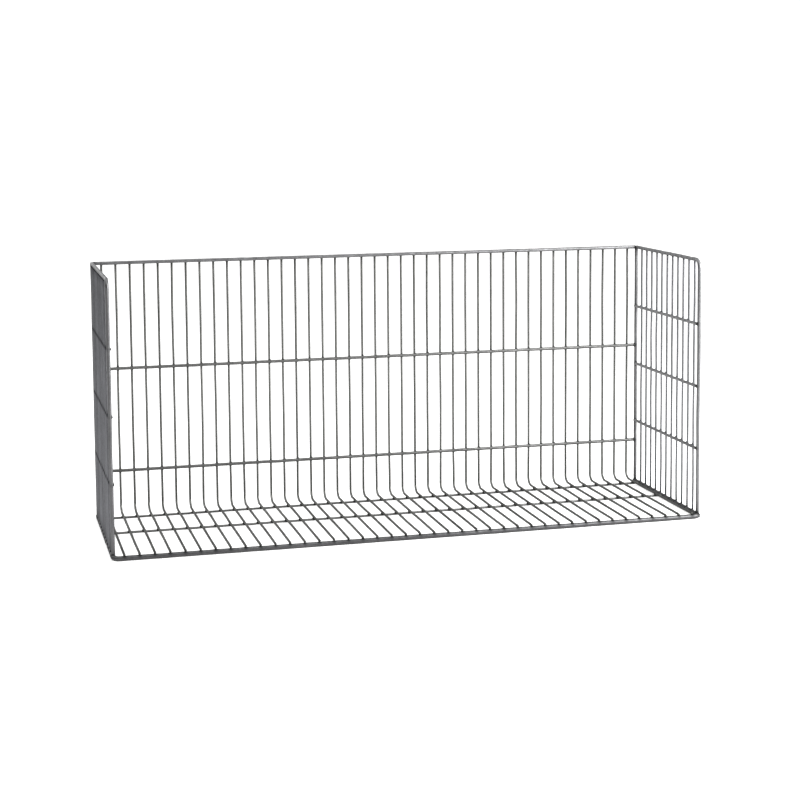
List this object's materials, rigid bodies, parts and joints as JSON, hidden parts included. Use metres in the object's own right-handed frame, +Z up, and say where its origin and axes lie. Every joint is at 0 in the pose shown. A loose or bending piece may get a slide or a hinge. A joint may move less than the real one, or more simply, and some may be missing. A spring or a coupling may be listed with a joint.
{
  "type": "wire mesh container",
  "caption": "Open-front, open-top wire container welded from steel rod, with a floor and back of bent L-shaped wires and two barred sides.",
  "frame": {"origin": "centre of the footprint, on the plane that the base rod stands on", "axes": "+X along the width, to the right seen from the open front; +Y from the open front to the back wall; +Z up"},
  "size_m": [1, 0.3, 0.445],
  "materials": {
    "heavy_rod": "zinc plated steel rod, dull grey",
    "frame_rod": "zinc plated steel rod, satin grey",
    "side_bar": "zinc plated steel rod, satin grey",
    "side_wire": "bright zinc plated steel wire",
    "cross_wire": "zinc plated steel wire, satin grey",
    "mesh_wire": "bright zinc plated steel wire"
  },
  "bodies": {
    "root": {"base_rod": "heavy_rod", "top_rail": "frame_rod", "left_corner_post": "frame_rod", "right_corner_post": "frame_rod", "left_side_frame": "frame_rod", "right_side_frame": "frame_rod", "left_bar_1": "side_bar", "left_bar_2": "side_bar", "left_bar_3": "side_bar", "right_bar_1": "side_bar", "right_bar_2": "side_bar", "right_bar_3": "side_bar", "left_uprights": "side_wire", "right_uprights": "side_wire", "back_cross_lower": "cross_wire", "back_cross_upper": "cross_wire", "floor_cross_rear": "cross_wire", "floor_cross_front": "cross_wire", "l_wire_01": "mesh_wire", "l_wire_02": "mesh_wire", "l_wire_03": "mesh_wire", "l_wire_04": "mesh_wire", "l_wire_05": "mesh_wire", "l_wire_06": "mesh_wire", "l_wire_07": "mesh_wire", "l_wire_08": "mesh_wire", "l_wire_09": "mesh_wire", "l_wire_10": "mesh_wire", "l_wire_11": "mesh_wire", "l_wire_12": "mesh_wire", "l_wire_13": "mesh_wire", "l_wire_14": "mesh_wire", "l_wire_15": "mesh_wire", "l_wire_16": "mesh_wire", "l_wire_17": "mesh_wire", "l_wire_18": "mesh_wire", "l_wire_19": "mesh_wire", "l_wire_20": "mesh_wire", "l_wire_21": "mesh_wire", "l_wire_22": "mesh_wire", "l_wire_23": "mesh_wire", "l_wire_24": "mesh_wire", "l_wire_25": "mesh_wire", "l_wire_26": "mesh_wire", "l_wire_27": "mesh_wire", "l_wire_28": "mesh_wire", "l_wire_29": "mesh_wire", "l_wire_30": "mesh_wire", "l_wire_31": "mesh_wire", "l_wire_32": "mesh_wire", "l_wire_33": "mesh_wire", "l_wire_34": "mesh_wire", "l_wire_35": "mesh_wire", "l_wire_36": "mesh_wire", "l_wire_37": "mesh_wire", "l_wire_38": "mesh_wire", "l_wire_39": "mesh_wire", "l_wire_40": "mesh_wire", "l_wire_41": "mesh_wire"}
  },
  "joints": []
}
